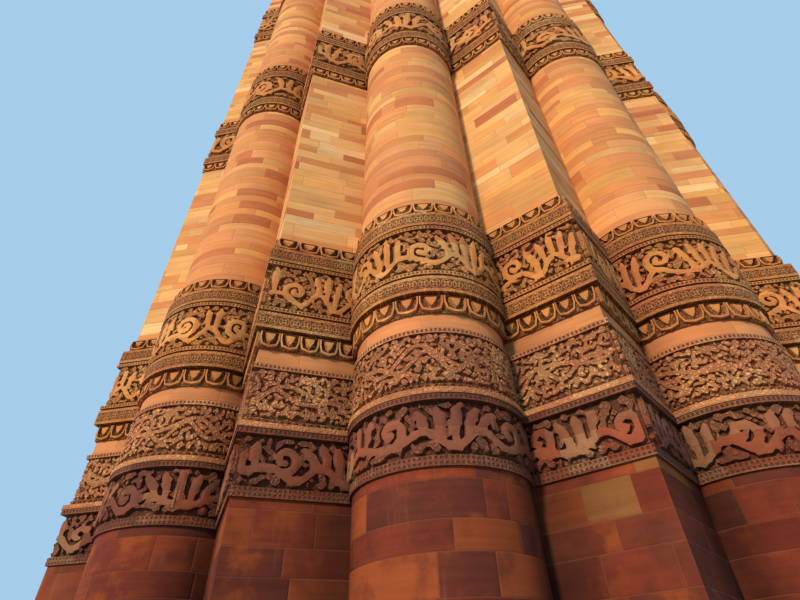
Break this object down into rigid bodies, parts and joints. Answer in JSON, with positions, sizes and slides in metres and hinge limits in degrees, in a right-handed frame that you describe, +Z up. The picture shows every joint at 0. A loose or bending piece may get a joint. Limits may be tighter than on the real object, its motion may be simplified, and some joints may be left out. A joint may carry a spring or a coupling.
{
  "type": "minaret scale model",
  "caption": "Half-size model of a tapering storeyed minaret: fluted sandstone walls, carved bands, corbelled galleries with parapets, arched doors and hollow wells.",
  "frame": {"origin": "centre of the plinth's underside, on the ground", "axes": "+Z up along the tower's axis, -Y out of the middle of a round flute on the side seen in the picture, +Y out through the entrance, +X to the right of that front"},
  "size_m": [7.8, 7.8, 36.25],
  "materials": {
    "plinth_stone": "worn grey quartzite blocks, matt",
    "sandstone_wall": "coursed ashlar of red, orange and buff sandstone, matt",
    "carved_sandstone": "carved red sandstone, matt, worn at the edges",
    "gallery_sandstone": "tooled red sandstone, matt",
    "white_marble": "weathered white marble ashlar, satin"
  },
  "bodies": {
    "root": {"plinth": "plinth_stone", "first_storey_wall_01": "sandstone_wall", "first_storey_wall_02": "sandstone_wall", "first_storey_wall_03": "sandstone_wall", "first_storey_wall_04": "sandstone_wall", "first_storey_wall_05": "sandstone_wall", "first_storey_wall_06": "sandstone_wall", "first_storey_wall_07": "sandstone_wall", "first_storey_wall_08": "sandstone_wall", "first_storey_wall_09": "sandstone_wall", "first_storey_wall_10": "sandstone_wall", "first_storey_wall_11": "sandstone_wall", "first_storey_wall_12": "sandstone_wall", "entrance_surround": "carved_sandstone", "lowest_bands": "carved_sandstone", "great_band": "carved_sandstone", "middle_band": "carved_sandstone", "upper_band": "carved_sandstone", "high_band": "carved_sandstone", "crowning_band": "carved_sandstone", "first_gallery": "gallery_sandstone", "first_gallery_parapet": "gallery_sandstone", "second_storey_wall_right": "sandstone_wall", "second_storey_jamb_right": "sandstone_wall", "second_storey_jamb_left": "sandstone_wall", "second_storey_wall_back": "sandstone_wall", "second_storey_wall_left": "sandstone_wall", "second_storey_wall_front": "sandstone_wall", "second_storey_lower_band": "carved_sandstone", "second_storey_upper_band": "carved_sandstone", "second_gallery": "gallery_sandstone", "second_gallery_parapet": "gallery_sandstone", "third_storey_wall_right": "sandstone_wall", "third_storey_jamb_right": "sandstone_wall", "third_storey_jamb_left": "sandstone_wall", "third_storey_wall_back": "sandstone_wall", "third_storey_wall_left": "sandstone_wall", "third_storey_wall_front": "sandstone_wall", "third_storey_lower_band": "carved_sandstone", "third_storey_upper_band": "carved_sandstone", "third_gallery": "gallery_sandstone", "third_gallery_parapet": "gallery_sandstone", "fourth_storey_wall": "white_marble", "fourth_storey_band": "carved_sandstone", "fourth_gallery": "gallery_sandstone", "fourth_gallery_parapet": "gallery_sandstone", "fifth_storey_wall": "white_marble", "roof": "gallery_sandstone", "roof_parapet": "gallery_sandstone"}
  },
  "joints": []
}
